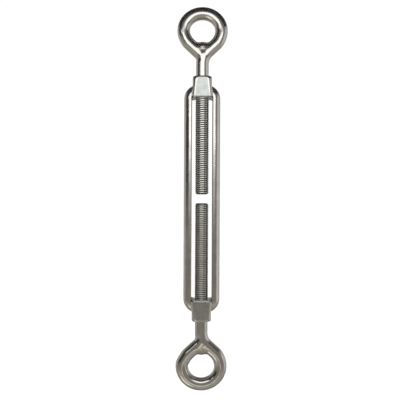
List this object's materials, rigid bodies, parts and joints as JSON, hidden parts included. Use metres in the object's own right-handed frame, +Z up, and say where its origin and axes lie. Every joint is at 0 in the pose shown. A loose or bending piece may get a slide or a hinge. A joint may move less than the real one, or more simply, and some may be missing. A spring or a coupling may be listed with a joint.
{
  "type": "rigging turnbuckle",
  "caption": "Open-frame rigging turnbuckle with a bent and welded eye bolt screwed into each end, one right-hand and one left-hand.",
  "frame": {"origin": "the middle of the turnbuckle, on its axis", "axes": "+Z up the axis towards the upper eye, -Y the front, +X to the right in the front view"},
  "size_m": [0.0294, 0.0112, 0.224],
  "materials": {
    "polished_stainless": "polished",
    "satin_stainless": "satin",
    "threaded_stainless": "rolled thread",
    "weld_metal": "ground and polished weld"
  },
  "bodies": {
    "frame": {"left_side_bar": "polished_stainless", "right_side_bar": "polished_stainless", "upper_end_block": "satin_stainless", "lower_end_block": "satin_stainless", "upper_left_weld": "weld_metal", "upper_right_weld": "weld_metal", "lower_left_weld": "weld_metal", "lower_right_weld": "weld_metal"},
    "upper_travel": {"upper_threaded_shank": "threaded_stainless"},
    "upper_bolt": {"upper_eye": "polished_stainless", "upper_eye_weld": "weld_metal"},
    "lower_travel": {"lower_threaded_shank": "threaded_stainless"},
    "lower_bolt": {"lower_eye": "polished_stainless", "lower_eye_weld": "weld_metal"}
  },
  "joints": [
    {"name": "upper_slide", "type": "slide", "parent": "frame", "child": "upper_travel", "axis": [0, 0, 1], "range_m": [0, 0.0547]},
    {"name": "upper_turn", "type": "hinge", "parent": "upper_travel", "child": "upper_bolt", "pos_m": [0, 0, 0.0981], "axis": [0, 0, 1], "range_deg": [0, 15780]},
    {"name": "lower_slide", "type": "slide", "parent": "frame", "child": "lower_travel", "axis": [0, 0, -1], "range_m": [0, 0.0548]},
    {"name": "lower_turn", "type": "hinge", "parent": "lower_travel", "child": "lower_bolt", "pos_m": [0, 0, -0.0981], "axis": [0, 0, 1], "range_deg": [0, 15780]}
  ],
  "couplings": [
    {"joint": "upper_turn", "follows": "upper_slide", "rad_per_m": 5026.5},
    {"joint": "lower_slide", "follows": "upper_slide", "ratio": 1},
    {"joint": "lower_turn", "follows": "upper_slide", "rad_per_m": 5026.5}
  ]
}
